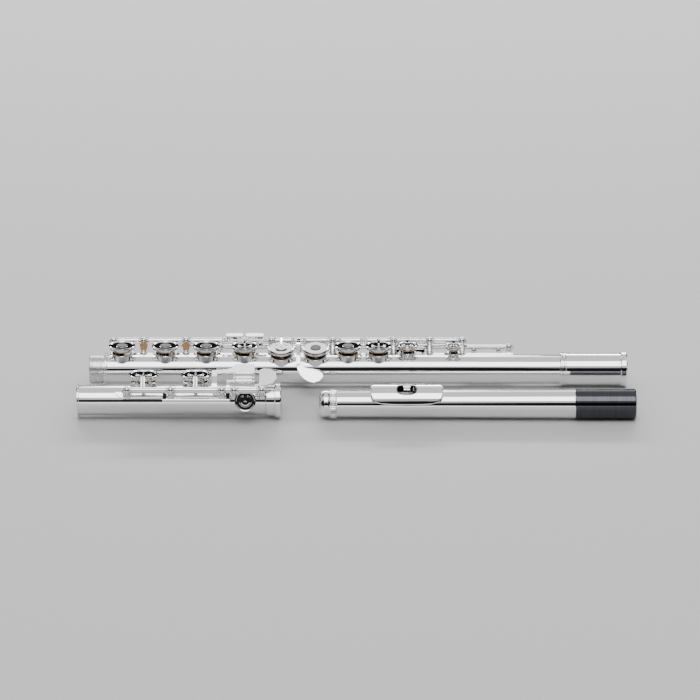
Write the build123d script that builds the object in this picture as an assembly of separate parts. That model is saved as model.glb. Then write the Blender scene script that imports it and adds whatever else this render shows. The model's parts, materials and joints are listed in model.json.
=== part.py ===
from build123d import *
import os
from math import sin, cos, radians

# Concert flute with a C foot, taken apart into its three joints, which lie side by side
# on the floor: the body joint behind, the foot joint and the head joint in front of it.
# Units are millimetres. X runs along every tube towards the head end, Y to the rear,
# Z up, floor at z = 0. Each joint is built round its own tube axis and then placed.

# ---- placing of the three joints ----
BODY_AT = (-158.3, 20.92, 11.9)
FOOT_AT = (-186.2, -30.28, 11.8)
HEAD_AT = (33.5, -32.2, 10.05)

# ---- tubing ----
TUBE_R = 9.9
BORE_R = 9.5
CHIMNEY_TOP = 12.6
STRAP_R = 11.3
BODY_LEFT = -11.6
BODY_RIGHT = 304.0
FOOT_TENON = (-22.1, -13.6)
TENON_R = 9.75
BARREL = (296.0, 341.3)
SOCKET_R = 10.08
BARREL_R = 11.0
RING_R = 11.9
FOOT_LENGTH = 136.0
FOOT_SOCKET = (126.0, 136.0)
FOOT_SOCKET_R = 9.78
HEAD_CROWN_END = -46.5
HEAD_TENON = (112.6, 152.8)
HEAD_TENON_R = 10.05

# ---- keywork ----
STEEL_R = 1.05
HINGE_BORE = 1.10
HINGE_R = 2.1
PAD_FACE = 12.68
CUP_RIM = 13.7
CUP_FLOOR = 15.2
CUP_TOP = 16.0
PLUG_R = 3.3
OPEN = 5.0
CUP_R = 9.1
MAIN_ROD = (14.0, 14.9)
TRILL_ROD = (16.2, 9.4)
TRILL_TUBE_R = 1.75
THUMB_ROD = (13.8, 1.5)
FOOT_ROD = (14.0, 13.4)
BYPASS_ROD = (17.0, 7.6)

# main row: centre of each tone hole along the tube and its lean towards the rear
HOLE_D, HOLE_E, HOLE_F, HOLE_F_SHARP = 0.0, 29.3, 56.9, 83.0
HOLE_G_LOWER, HOLE_G_UPPER, G_LEAN = 107.6, 130.8, -12.0
HOLE_A, HOLE_B_FLAT = 152.7, 173.4
HOLE_THUMB, THUMB_R, THUMB_LEAN, THUMB_OPEN = 192.9, 7.3, 4.0, 4.0
HOLE_SMALL_C, SMALL_C_R = 224.0, 5.8
HOLE_G_SHARP, G_SHARP_R, G_SHARP_LEAN = 119.2, 7.0, 100.0
HOLE_D_SHARP_TRILL, HOLE_D_TRILL, TRILL_R, TRILL_LEAN = 238.3, 255.0, 5.0, 97.0
CORKED_POSTS = (14.1, 42.9)
POSTS = (-6.2, 14.1, 42.9, 100.8, 142.3, 183.6, 208.0, 230.0)
TRILL_POSTS = (66.0, 262.0)

# foot row, seen in a mirrored frame because its rods run along the front
HOLE_LOW_C, LOW_C_R = 44.5, 10.4
HOLE_LOW_C_SHARP, LOW_C_SHARP_R, FOOT_LEAN = 79.3, 10.4, -14.0
HOLE_LOW_D_SHARP, LOW_D_SHARP_R, LOW_D_SHARP_LEAN = 112.5, 7.2, 68.0
TOUCH_TILT = 10.0
FOOT_POSTS = (34.0, 63.0, 97.0, 105.0, 123.4)
ROLLER_X, ROLLER_R, ROLLER_BORE, ROLLER_PIN = (105.9, 117.1), 1.6, 0.66, 0.6
ROLLER_C_AT, ROLLER_C_SHARP_AT = (6.6, 16.0), (2.7, 16.6)

# ---- head joint ----
HEAD_TURN = 20.0
PLATE_HALF = 24.0
PLATE_FRONT, PLATE_REAR = 12.0, 8.6
PLATE_R, PLATE_RISE, PLATE_WALL = 12.3, 1.6, 0.9
EMBOUCHURE = (12.8, 10.2, 4.6)


# ---- plain solids round a tube axis ----
def bar(x0, x1, r, y=0.0, z=0.0):
    return Pos((x0 + x1) / 2, y, z) * Rot(0, 90, 0) * Cylinder(r, x1 - x0)


def pipe(x0, x1, outer, inner, y=0.0, z=0.0):
    return bar(x0, x1, outer, y, z) - bar(x0 - 1, x1 + 1, inner, y, z)


def turned(*points):
    face = make_face(Plane.XZ * Polyline(*points, close=True))
    return revolve(face, Axis.X)


def spun(*points):
    face = make_face(Plane.XZ * Polyline(*points, close=True))
    return revolve(face, Axis.Z)


def leaned(x, lean):
    return Pos(x, 0, 0) * Rot(-lean, 0, 0)


def swung(shape, rod, angle):
    y, z = rod
    return Pos(0, y, z) * Rot(angle, 0, 0) * Pos(0, -y, -z) * shape


def prism(points, z0, z1, corner=0.0):
    face = make_face(Polyline(*points, close=True))
    if corner:
        face = fillet(face.vertices(), corner)
    return extrude(Pos(0, 0, z0) * face, z1 - z0, dir=(0, 0, 1))


def shell(x0, x1, inner, outer, start, stop):
    """Part of a pipe wall, between two angles measured from the top towards +Y."""
    reach = outer * 2.5
    angles = [start + (stop - start) * i / 6 for i in range(7)]
    rim = [(reach * sin(radians(a)), reach * cos(radians(a))) for a in angles]
    face = make_face(Plane.YZ * Polyline((0, 0), *rim, close=True))
    wedge = extrude(Pos(x0, 0, 0) * face, x1 - x0, dir=(1, 0, 0))
    return pipe(x0, x1, outer, inner) & wedge


def strip(points, width, thick, x):
    """A flat bar bent along points in the YZ plane, rounded at every bend."""
    parts = []
    for (y0, z0), (y1, z1) in zip(points, points[1:]):
        run = Vector(0, y1 - y0, z1 - z0)
        place = Plane(origin=(x, (y0 + y1) / 2, (z0 + z1) / 2), x_dir=(1, 0, 0), z_dir=run)
        parts.append(place * Box(width, thick, run.length))
    for y, z in points:
        parts.append(bar(x - width / 2, x + width / 2, thick / 2, y, z))
    return Part() + parts


# ---- cups, pads and arms ----
def cup(radius, hole=False):
    """Bowl-shaped cup: rounded rim, wall drawn in towards the pad, dished top."""
    top, inner = CUP_TOP, radius - 1.6
    rim = [(inner, CUP_FLOOR), (inner, CUP_RIM), (radius - 1.0, CUP_RIM),
           (radius - 0.5, CUP_RIM + 0.7), (radius - 0.1, top - 0.8), (radius, top - 0.1),
           (radius - 0.2, top + 0.35), (radius - 0.6, top + 0.5), (radius - 1.0, top + 0.4),
           (radius - 1.3, top)]
    if hole:
        eye = [(PLUG_R + 0.7, top), (PLUG_R + 0.4, top + 0.15), (PLUG_R, top + 0.15),
               (PLUG_R, CUP_RIM - 0.4), (PLUG_R + 0.5, CUP_RIM - 0.4),
               (PLUG_R + 0.5, CUP_FLOOR)]
    else:
        ring = radius * 0.54
        eye = [(ring + 0.3, top), (ring, top - 0.4), (ring - 0.4, top - 0.4),
               (ring - 0.8, top + 0.5), (ring - 1.3, top + 0.7), (0, top + 0.8),
               (0, CUP_FLOOR)]
    return spun(*rim, *eye)


def pad(radius, hole=False):
    r = radius - 1.6
    edge = [(r - 0.5, PAD_FACE), (r, PAD_FACE + 0.5), (r, CUP_FLOOR)]
    if hole:
        return spun((PLUG_R + 0.5, PAD_FACE), *edge, (PLUG_R + 0.5, CUP_FLOOR))
    return spun((0, PAD_FACE), *edge, (0, CUP_FLOOR))


def plug():
    top = CUP_TOP + 0.15
    return spun((0, CUP_RIM), (PLUG_R, CUP_RIM), (PLUG_R, top), (PLUG_R + 0.25, top),
                (PLUG_R + 0.25, top + 0.2), (PLUG_R - 0.1, top + 0.45), (0, top + 0.45))


def hinge_in(rod, lean):
    """The rod's place in the frame of a cup that leans towards the rear."""
    y, z = rod
    s, c = sin(radians(lean)), cos(radians(lean))
    return y * c - z * s, y * s + z * c


def pointed_arm(radius, rod, lean):
    """French arm: widest at the hinge tube, drawn out to a point at the cup's centre."""
    t, n = hinge_in(rod, lean)
    height = CUP_TOP + 0.95
    knee = radius + 0.3 if t > radius + 0.6 else t - 0.4
    band = strip([(0, height), (knee, height), (t, n)], 9.0, 1.5, 0)
    taper = prism([(-0.4, -1.0), (0.4, -1.0), (0.9, 1.5), (1.35, t + 2), (-1.35, t + 2),
                   (-0.9, 1.5)], 0, 30)
    return band & taper


def side_arm(radius, rod, lean):
    """Short tongue from the hinge tube to the wall of an open-hole cup."""
    t, n = hinge_in(rod, lean)
    band = strip([(radius + 0.5, CUP_TOP - 0.7), (t, n)], 7.0, 1.8, 0)
    taper = prism([(-1.6, 0), (1.6, 0), (2.4, t + 2), (-2.4, t + 2)], 0, 30)
    return band & taper


def hinge(x0, x1, rod, outer=HINGE_R):
    return pipe(x0, x1, outer, HINGE_BORE, *rod)


def cup_key(x, radius, lean, rod, span, hole=False):
    """Key with one cup on its hinge tube, in the closed position."""
    place = leaned(x, lean)
    arm = side_arm(radius, rod, lean) if hole else pointed_arm(radius, rod, lean)
    arm = place * arm - bar(x - 20, x + 20, HINGE_BORE, *rod)
    return hinge(*span, rod) + place * cup(radius, hole) + arm


def tone_hole(x, radius, lean, grow=0.0):
    outer = radius - 2.1 + grow
    wall = Pos(0, 0, CHIMNEY_TOP / 2 + 2.5) * Cylinder(outer, CHIMNEY_TOP - 5)
    lip = Pos(0, 0, CHIMNEY_TOP - 0.45) * Cylinder(outer + 0.35, 0.9)
    return leaned(x, lean) * (wall + lip)


def tone_bore(x, radius, lean):
    return leaned(x, lean) * Pos(0, 0, 10) * Cylinder(radius - 2.6, 20)


def drill(tube, holes, bore):
    """Raise the chimneys on a tube, then open its bore and every hole."""
    for hole in holes:
        tube += tone_hole(*hole)
    tube -= bore
    for hole in holes:
        tube -= tone_bore(*hole)
    return tube


# ---- straps and posts ----
def post(x, rod, angle, ball=2.6, pin=STEEL_R, base=2.2):
    y, z = rod
    fy, fz = STRAP_R * sin(radians(angle)), STRAP_R * cos(radians(angle))
    run = Vector(0, y - fy, z - fz)
    place = Plane(origin=(x, fy, fz), x_dir=(1, 0, 0), z_dir=run)
    align = (Align.CENTER, Align.CENTER, Align.MIN)
    stem = place * Cone(base, ball * 0.52, run.length, align=align)
    stem += place * Pos(0, 0, -0.9) * Cylinder(base, 0.9, align=align)
    return stem + Pos(x, y, z) * Rot(0, 90, 0) * Sphere(ball) - bar(x - 4, x + 4, pin, y, z)


def strap(x0, x1, start, stop, holes):
    """Rib soldered along the tube, scalloped where it passes a chimney."""
    rib = shell(x0, x1, TUBE_R, STRAP_R, start, stop)
    for x, radius, lean in holes:
        if x0 - radius < x < x1 + radius:
            rib -= leaned(x, lean) * Pos(0, 0, 15) * Cylinder(radius - 0.9, 30)
    return rib


def main_holes():
    open_row = [(x, CUP_R, 0.0) for x in (HOLE_D, HOLE_E, HOLE_F, HOLE_F_SHARP)]
    open_row += [(x, CUP_R, G_LEAN) for x in (HOLE_G_LOWER, HOLE_G_UPPER)]
    open_row += [(x, CUP_R, 0.0) for x in (HOLE_A, HOLE_B_FLAT)]
    return open_row + [
        (HOLE_THUMB, THUMB_R, THUMB_LEAN),
        (HOLE_SMALL_C, SMALL_C_R, 0.0),
        (HOLE_G_SHARP, G_SHARP_R, G_SHARP_LEAN),
        (HOLE_D_SHARP_TRILL, TRILL_R, TRILL_LEAN),
        (HOLE_D_TRILL, TRILL_R, TRILL_LEAN),
    ]


def body_tube():
    """Body tube with its turned foot tenon, end ring and raised tone holes."""
    t0, t1 = FOOT_TENON
    tube = turned(
        (t0, 0), (t0, TENON_R - 0.4), (t0 + 0.5, TENON_R), (t1, TENON_R), (t1, TENON_R - 0.45),
        (BODY_LEFT, TENON_R - 0.45), (BODY_LEFT, 10.9), (BODY_LEFT + 0.4, 11.3),
        (BODY_LEFT + 1.3, 11.3), (BODY_LEFT + 1.7, 10.9), (BODY_LEFT + 1.7, TUBE_R),
        (BODY_RIGHT, TUBE_R), (BODY_RIGHT, 0),
    )
    bore = turned((t0 - 1, 0), (t0 - 1, 8.9), (BODY_LEFT, 8.9), (BODY_LEFT + 1, BORE_R),
                  (BODY_RIGHT + 1, BORE_R), (BODY_RIGHT + 1, 0))
    return drill(tube, main_holes(), bore)


def barrel():
    """Head socket: slim sleeve between a stepped ring and a broad mouth ring."""
    x0, x1 = BARREL
    sleeve = turned(
        (x0, TUBE_R), (x0, 11.2), (x0 + 0.5, 11.6), (x0 + 1.5, 11.6), (x0 + 2.0, 11.1),
        (x0 + 2.6, 11.1), (x0 + 3.0, 11.4), (x0 + 3.8, 11.4), (x0 + 4.2, BARREL_R),
        (x1 - 4.4, BARREL_R), (x1 - 4.4, RING_R - 0.5), (x1 - 3.8, RING_R),
        (x1 - 0.7, RING_R), (x1, RING_R - 0.6), (x1, SOCKET_R),
        (BODY_RIGHT, SOCKET_R), (BODY_RIGHT, TUBE_R),
    )
    return sleeve


def rib_main():
    rib = strap(-7.8, 185.8, 39, 66, main_holes())
    for x in POSTS[:6]:
        rib += post(x, MAIN_ROD, 47, base=1.6 if x in CORKED_POSTS else 2.2)
    return rib + post(TRILL_POSTS[0], TRILL_ROD, 58, 2.3, HINGE_BORE)


def rib_upper():
    rib = strap(205.0, 264.5, 39, 66, main_holes())
    for x in POSTS[6:]:
        rib += post(x, MAIN_ROD, 47)
    return rib + post(TRILL_POSTS[1], TRILL_ROD, 58, 2.3, HINGE_BORE)


def rib_thumb():
    rib = shell(177.5, 208.5, TUBE_R, 10.9, 76, 96)
    for x in (180.0, 206.0):
        rib += post(x, THUMB_ROD, 84, 2.1, STEEL_R, 1.9)
    return rib


def cork_bumpers():
    """Tapered cork sleeves on the stems of two posts, where the keys come to rest."""
    fy, fz = STRAP_R * sin(radians(47)), STRAP_R * cos(radians(47))
    run = Vector(0, MAIN_ROD[0] - fy, MAIN_ROD[1] - fz)
    align = (Align.CENTER, Align.CENTER, Align.MIN)
    sleeves = []
    for x in CORKED_POSTS:
        place = Plane(origin=(x, fy, fz), x_dir=(1, 0, 0), z_dir=run)
        sleeve = place * Pos(0, 0, 2.2) * Cone(1.85, 2.85, 4.5, align=align)
        sleeves.append(sleeve - post(x, MAIN_ROD, 47, base=1.6))
    return Part() + sleeves


# ---- body keys on the main rod ----
def small_c_key():
    return cup_key(HOLE_SMALL_C, SMALL_C_R, 0.0, MAIN_ROD, (210.7, 227.3))


def g_sharp_key():
    """Closed key: cup on the rear side, touch reaching over the top to the front."""
    x = HOLE_G_SHARP
    key = hinge(117.0, 121.6, MAIN_ROD)
    key += leaned(x, G_SHARP_LEAN) * cup(G_SHARP_R)
    tail = [MAIN_ROD, (18.6, 14.2), (20.6, 11.0), (20.6, 6.0), (19.0, 0.5), (16.8, -2.4)]
    key += strip(tail, 3.4, 1.6, x)
    key += strip([MAIN_ROD, (9.6, 17.4), (5.0, 18.3)], 3.0, 1.6, x)
    key += shell(118.0, 120.5, 18.1, 19.5, -62, 18)
    paddle = prism([(118.0, 1.0), (120.5, 1.0), (121.5, -0.5), (125.2, -1.8), (129.3, -2.6),
                    (133.6, -4.0), (135.6, -5.8), (135.8, -8.1), (133.4, -10.8),
                    (129.6, -12.0), (126.6, -11.4), (123.4, -9.5), (120.6, -6.6),
                    (118.8, -2.6)], -0.7, 0.7, 0.4)
    key += Pos(0, -16.28, 9.4) * Rot(45, 0, 0) * paddle
    return key - bar(110, 130, HINGE_BORE, *MAIN_ROD)


# ---- trill keys: one turns on a long rod, the other on the tube round that rod ----
def trill_arm(x, rod):
    y, z = rod
    return strip([(y, z), (y + 0.9, z - 4.5), (16.9, -1.6)], 3.2, 1.5, x)


def trill_touch(x0, x1, rod, stem):
    """Touch lying above the rods, on an arm from the hinge."""
    plate = prism([(x0, 11.0), (x1, 11.0), (x1, 16.6), (x0, 16.6)], 18.4, 19.4, 1.8)
    arm = strip([(15.4, 18.7), (18.0, 18.2), (19.4, 15.0), (18.6, 11.6), rod], 3.0, 1.4, stem)
    return plate + arm


def d_trill_key():
    key = bar(64.4, 263.6, STEEL_R, *TRILL_ROD)
    key += leaned(HOLE_D_TRILL, TRILL_LEAN) * cup(TRILL_R)
    key += bar(243.0, 259.2, TRILL_TUBE_R, *TRILL_ROD)
    key += bar(69.0, 82.0, TRILL_TUBE_R, *TRILL_ROD)
    key += trill_arm(HOLE_D_TRILL, TRILL_ROD)
    return key + trill_touch(70.0, 81.5, TRILL_ROD, 76.0)


def d_sharp_trill_key():
    key = bar(82.4, 242.6, TRILL_TUBE_R, *TRILL_ROD)
    key += leaned(HOLE_D_SHARP_TRILL, TRILL_LEAN) * cup(TRILL_R)
    key += trill_arm(HOLE_D_SHARP_TRILL, TRILL_ROD)
    key += trill_touch(83.5, 95.5, TRILL_ROD, 93.2)
    return key - bar(80, 244, HINGE_BORE, *TRILL_ROD)


# ---- thumb keys: levers on a low rod at the rear ----
def thumb_key():
    place = leaned(HOLE_THUMB, THUMB_LEAN)
    arm = shell(190.4, 195.4, 14.0, 15.8, 38, 92)
    arm -= place * Pos(0, 0, 10) * Cylinder(THUMB_R - 1.6, 12)
    tongue = strip([(0, CUP_TOP + 0.95), (THUMB_R + 0.2, CUP_TOP + 0.8), (9.6, 12.0)], 6.0, 1.4, 0)
    tongue &= prism([(-0.3, -0.4), (0.3, -0.4), (2.6, 14), (-2.6, 14)], 0, 30)
    key = hinge(182.4, 197.6, THUMB_ROD, 1.9) + place * (cup(THUMB_R) + tongue) + arm
    key += thumb_plate(183.0, 195.0)
    return key - bar(170, 210, HINGE_BORE, *THUMB_ROD)


def thumb_plate(x0, x1):
    plate = prism([(x0, 17.8), (x1, 17.8), (x1, 27.0), (x0, 27.0)], 3.2, 4.5, 2.6)
    arm = strip([THUMB_ROD, (16.4, 3.4), (19.0, 3.9)], 4.0, 1.4, (x0 + x1) / 2)
    return plate + arm


def thumb_lever():
    key = hinge(198.0, 203.7, THUMB_ROD, 1.9) + thumb_plate(196.0, 205.0)
    return key - bar(170, 210, HINGE_BORE, *THUMB_ROD)


# ---- foot joint ----
def flipped(shape):
    return mirror(shape, Plane.XZ)


def foot_holes():
    return [(HOLE_LOW_C, LOW_C_R, FOOT_LEAN), (HOLE_LOW_C_SHARP, LOW_C_SHARP_R, FOOT_LEAN),
            (HOLE_LOW_D_SHARP, LOW_D_SHARP_R, LOW_D_SHARP_LEAN)]


def foot_tube():
    """Foot tube: thin ring at the free end, socket sleeve and broad ring at the other."""
    s0, s1 = FOOT_SOCKET
    tube = turned(
        (0, 0), (0, 10.3), (0.4, 10.7), (1.2, 10.7), (1.6, 10.3), (1.6, TUBE_R),
        (s0 - 0.3, TUBE_R), (s0 + 0.3, 10.7), (s1 - 4.2, 10.7), (s1 - 4.2, 11.3),
        (s1 - 3.7, 11.8), (s1 - 0.6, 11.8), (s1, 11.3), (s1, 0),
    )
    bore = turned((-1, 0), (-1, BORE_R), (s0, BORE_R), (s0, FOOT_SOCKET_R),
                  (s1 + 1, FOOT_SOCKET_R), (s1 + 1, 0))
    return drill(tube, foot_holes(), bore)


def rib_foot():
    """Foot strap: its free end is cut on a slant."""
    rib = strap(26.0, 125.4, 25, 64, foot_holes())
    slant = make_face(Plane.XZ * Polyline((20, 0), (32.5, 0), (32.5, 4.2), (26.0, 8.4),
                                          (20, 8.4), close=True))
    rib -= extrude(Pos(0, 20, 0) * slant, 40, dir=(0, -1, 0))
    for x in FOOT_POSTS:
        rib += post(x, FOOT_ROD, 47)
    return rib


def low_c_key():
    """Cup at the far end, two hinge tubes joined by a bypass rod, roller at the touch."""
    key = cup_key(HOLE_LOW_C, LOW_C_R, FOOT_LEAN, FOOT_ROD, (36.7, 60.3))
    key += hinge(99.7, 102.3, FOOT_ROD)
    key += bar(57.6, 102.0, 1.2, *BYPASS_ROD)
    for x in (59.0, 101.0):
        key += strip([FOOT_ROD, BYPASS_ROD], 2.4, 2.0, x)
    y, z = ROLLER_C_AT
    key += strip([FOOT_ROD, (11.2, 15.3), (y, z)], 2.0, 1.5, 101.0)
    key += bar(100.0, 105.6, 1.0, y, z) + bar(105.0, 118.3, ROLLER_PIN, y, z)
    key += bar(117.4, 118.4, 1.0, y, z)
    return key - bar(30, 110, HINGE_BORE, *FOOT_ROD)


def low_c_sharp_key():
    key = cup_key(HOLE_LOW_C_SHARP, LOW_C_SHARP_R, FOOT_LEAN, FOOT_ROD, (65.7, 94.3))
    y, z = ROLLER_C_SHARP_AT
    key += strip([FOOT_ROD, (11.0, 16.6), (5.0, 18.6), (-1.0, 18.6)], 3.4, 1.4, 92.0)
    key += prism([(90.3, 1.6), (102.0, 0.4), (104.6, 0.4), (118.4, 0.4), (118.4, -11.5),
                  (106.0, -11.5), (103.0, -6.0), (97.0, -3.4), (90.3, -3.0)],
                 17.9, 19.3, 0.3)
    for x in (104.95, 117.9):
        key += strip([(-0.4, 18.4), (y, z)], 1.0, 2.0, x)
    key += bar(104.6, 118.3, ROLLER_PIN, y, z)
    return key - bar(60, 100, HINGE_BORE, *FOOT_ROD)


def low_d_sharp_key():
    """Closed key: cup on the front side under the rod, teardrop touch over the top."""
    key = cup_key(HOLE_LOW_D_SHARP, LOW_D_SHARP_R, LOW_D_SHARP_LEAN, FOOT_ROD, (107.7, 120.7))
    touch = prism([(118.9, 11.2), (126.5, 9.4), (131.0, 6.5), (133.2, 1.0), (132.6, -5.0),
                   (129.0, -9.6), (124.4, -10.4), (121.8, -8.6), (121.6, 7.4),
                   (118.9, 8.8)], -0.7, 0.7, 0.4)
    key += Pos(0, 0, 16.2) * Rot(-TOUCH_TILT, 0, 0) * touch
    key += strip([FOOT_ROD, (11.4, 14.2), (9.4, 14.4)], 2.0, 1.5, 119.7)
    return key - bar(100, 126, HINGE_BORE, *FOOT_ROD)


def roller(at):
    x0, x1 = ROLLER_X
    y, z = at
    body = pipe(x0, x1, ROLLER_R, ROLLER_BORE, y, z)
    return chamfer(body.edges().filter_by(GeomType.CIRCLE).group_by(SortBy.RADIUS)[-1], 0.3)


# ---- head joint ----
def head_tube():
    """Tapered tube, its polished tenon and the socket lip the tenon stops against."""
    c0 = HEAD_CROWN_END
    t0, t1 = HEAD_TENON
    tube = turned((c0, 0), (c0, 9.0), (t0 - 0.6, TUBE_R), (t0, HEAD_TENON_R),
                  (t1 - 0.8, HEAD_TENON_R), (t1, HEAD_TENON_R - 0.6), (t1, 0))
    bore = turned((c0 - 1, 0), (c0 - 1, 8.5), (c0, 8.5), (t0, BORE_R), (t1 + 1, BORE_R),
                  (t1 + 1, 0))
    tube -= bore
    return tube - leaned(0, -HEAD_TURN) * mouth_hole(0.0, 20)


def mouth_hole(grow, height):
    width, depth, corner = EMBOUCHURE
    face = RectangleRounded(width + 2 * grow, depth + 2 * grow, corner + grow)
    return extrude(face, height, dir=(0, 0, 1))


def lip_plate():
    """Curved plate round the mouth hole, longer towards the player's lip."""
    outer = bar(-PLATE_HALF, PLATE_HALF, PLATE_R, 0, PLATE_RISE)
    inner = bar(-PLATE_HALF - 1, PLATE_HALF + 1, PLATE_R - PLATE_WALL, 0, PLATE_RISE)
    long, short = PLATE_HALF, PLATE_HALF - 5.0
    face = make_face(Polyline((-long, 3.0), (-long, -3.0), (-long + 3, -PLATE_FRONT + 2),
                              (-short, -PLATE_FRONT), (short, -PLATE_FRONT),
                              (long - 3, -PLATE_FRONT + 2), (long, -3.0), (long, 3.0),
                              (short, PLATE_REAR), (-short, PLATE_REAR), close=True))
    outline = extrude(fillet(face.vertices(), 2.5), 20, dir=(0, 0, 1))
    plate = (outer - inner) & outline
    return leaned(0, -HEAD_TURN) * (plate - mouth_hole(0.0, 20))


def riser():
    wall = mouth_hole(1.5, 20) - mouth_hole(0.0, 20)
    wall &= bar(-12, 12, PLATE_R - PLATE_WALL, 0, PLATE_RISE)
    slope = (TUBE_R - 9.0) / (HEAD_TENON[0] - 0.6 - HEAD_CROWN_END)
    seat = turned((-12, 0), (-12, 9.0 + slope * 34.5), (12, 9.0 + slope * 58.5), (12, 0))
    return leaned(0, -HEAD_TURN) * (wall - seat)


def crown():
    """Knurled cap with a domed end, hollow over the end of the tube."""
    c0 = HEAD_CROWN_END
    return turned(
        (c0 - 0.2, 1.5), (c0 - 0.2, 9.9), (c0 - 1.0, 10.05), (c0 - 4.0, 10.05), (c0 - 4.8, 9.4),
        (c0 - 6.2, 9.0), (c0 - 8.6, 9.2), (c0 - 10.4, 8.4), (c0 - 11.8, 6.2),
        (c0 - 12.5, 3.0), (c0 - 12.5, 0), (c0 - 6.0, 0), (c0 - 6.0, 1.5),
    )


def stopper_cork():
    slope = 1.0 / (HEAD_TENON[0] - HEAD_CROWN_END)
    r0, r1 = 8.5 + slope * 11.5, 8.5 + slope * 28.5
    return turned((-35.0, 1.55), (-35.0, r0), (-18.0, r1), (-18.0, 1.55))


def stopper_screw():
    """Threaded rod of the crown with the two plates that clamp the cork."""
    c0 = HEAD_CROWN_END
    return turned((c0 - 6.0, 0), (c0 - 6.0, 1.5), (-36.8, 1.5), (-36.8, 7.6), (-35.2, 7.6),
                  (-35.2, 1.5), (-17.8, 1.5), (-17.8, 7.8), (-16.2, 7.8), (-16.2, 0))


# ---- writing the nodes ----
def save(name, shape, at):
    export_step(Pos(*at) * shape, f"parts/{name}.step")


def save_key(name, spec, plugged=False, angle=-OPEN, at=BODY_AT):
    x, radius, lean, rod, span = spec
    save(f"key_{name}", swung(cup_key(*spec, hole=plugged), rod, angle), at)
    save_pad(name, x, radius, lean, rod, angle, at, plugged)


def save_pad(name, x, radius, lean, rod, angle, at, plugged=False):
    place = leaned(x, lean)
    save(f"pad_{name}", swung(place * pad(radius, plugged), rod, angle), at)
    if plugged:
        save(f"plug_{name}", swung(place * plug(), rod, angle), at)


def build_body():
    save("body_tube", body_tube(), BODY_AT)
    save("barrel", barrel(), BODY_AT)
    save("rib_main", rib_main(), BODY_AT)
    save("rib_upper", rib_upper(), BODY_AT)
    save("cork_bumpers", cork_bumpers(), BODY_AT)
    save("rib_thumb", rib_thumb(), BODY_AT)
    save("steel_lower", bar(-8.3, 142.1, STEEL_R, *MAIN_ROD), BODY_AT)
    upper = bar(142.5, 232.1, STEEL_R, *MAIN_ROD) + bar(186.4, 205.2, HINGE_R, *MAIN_ROD)
    save("steel_upper", upper, BODY_AT)
    save("steel_thumb", bar(178.3, 207.7, STEEL_R, *THUMB_ROD), BODY_AT)
    row = {
        "d": (HOLE_D, 0.0, (-3.4, 11.3), True),
        "e": (HOLE_E, 0.0, (16.9, 40.1), True),
        "f": (HOLE_F, 0.0, (45.7, 69.8), True),
        "f_sharp": (HOLE_F_SHARP, 0.0, (70.2, 98.0), False),
        "g_lower": (HOLE_G_LOWER, G_LEAN, (103.6, 116.6), False),
        "g_upper": (HOLE_G_UPPER, G_LEAN, (122.0, 139.5), True),
        "a": (HOLE_A, 0.0, (145.1, 163.0), True),
        "b_flat": (HOLE_B_FLAT, 0.0, (163.4, 180.8), False),
    }
    for name, (x, lean, span, plugged) in row.items():
        save_key(name, (x, CUP_R, lean, MAIN_ROD, span), plugged)
    save_key("small_c", (HOLE_SMALL_C, SMALL_C_R, 0.0, MAIN_ROD, (210.7, 227.3)))
    save("key_g_sharp", g_sharp_key(), BODY_AT)
    save_pad("g_sharp", HOLE_G_SHARP, G_SHARP_R, G_SHARP_LEAN, MAIN_ROD, 0, BODY_AT)
    save("key_d_trill", d_trill_key(), BODY_AT)
    save_pad("d_trill", HOLE_D_TRILL, TRILL_R, TRILL_LEAN, TRILL_ROD, 0, BODY_AT)
    save("key_d_sharp_trill", d_sharp_trill_key(), BODY_AT)
    save_pad("d_sharp_trill", HOLE_D_SHARP_TRILL, TRILL_R, TRILL_LEAN, TRILL_ROD, 0, BODY_AT)
    save("key_thumb_b", swung(thumb_key(), THUMB_ROD, -THUMB_OPEN), BODY_AT)
    save_pad("thumb_b", HOLE_THUMB, THUMB_R, THUMB_LEAN, THUMB_ROD, -THUMB_OPEN, BODY_AT)
    save("lever_thumb_b_flat", swung(thumb_lever(), THUMB_ROD, -THUMB_OPEN), BODY_AT)


def build_foot():
    save("foot_tube", flipped(foot_tube()), FOOT_AT)
    save("rib_foot", flipped(rib_foot()), FOOT_AT)
    save("steel_foot", flipped(bar(32.0, 126.0, STEEL_R, *FOOT_ROD)), FOOT_AT)
    keys = {
        "low_c": (low_c_key(), HOLE_LOW_C, LOW_C_R, FOOT_LEAN, -OPEN),
        "low_c_sharp": (low_c_sharp_key(), HOLE_LOW_C_SHARP, LOW_C_SHARP_R, FOOT_LEAN, -OPEN),
        "low_d_sharp": (low_d_sharp_key(), HOLE_LOW_D_SHARP, LOW_D_SHARP_R,
                        LOW_D_SHARP_LEAN, 0),
    }
    for name, (key, x, radius, lean, angle) in keys.items():
        save(f"key_{name}", flipped(swung(key, FOOT_ROD, angle)), FOOT_AT)
        soft = leaned(x, lean) * pad(radius)
        save(f"pad_{name}", flipped(swung(soft, FOOT_ROD, angle)), FOOT_AT)
    for name, at in (("c", ROLLER_C_AT), ("c_sharp", ROLLER_C_SHARP_AT)):
        save(f"roller_{name}", flipped(swung(roller(at), FOOT_ROD, -OPEN)), FOOT_AT)


def build_head():
    save("head_tube", head_tube(), HEAD_AT)
    save("lip_plate", lip_plate(), HEAD_AT)
    save("riser", riser(), HEAD_AT)
    save("crown", crown(), HEAD_AT)
    save("stopper_cork", stopper_cork(), HEAD_AT)
    save("stopper_screw", stopper_screw(), HEAD_AT)


os.makedirs("parts", exist_ok=True)
build_body()
build_foot()
build_head()
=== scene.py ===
import json
from collections import namedtuple
from math import asin, cos, pi, radians, sin
import bmesh
import bpy
from mathutils import Matrix, Vector

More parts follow.
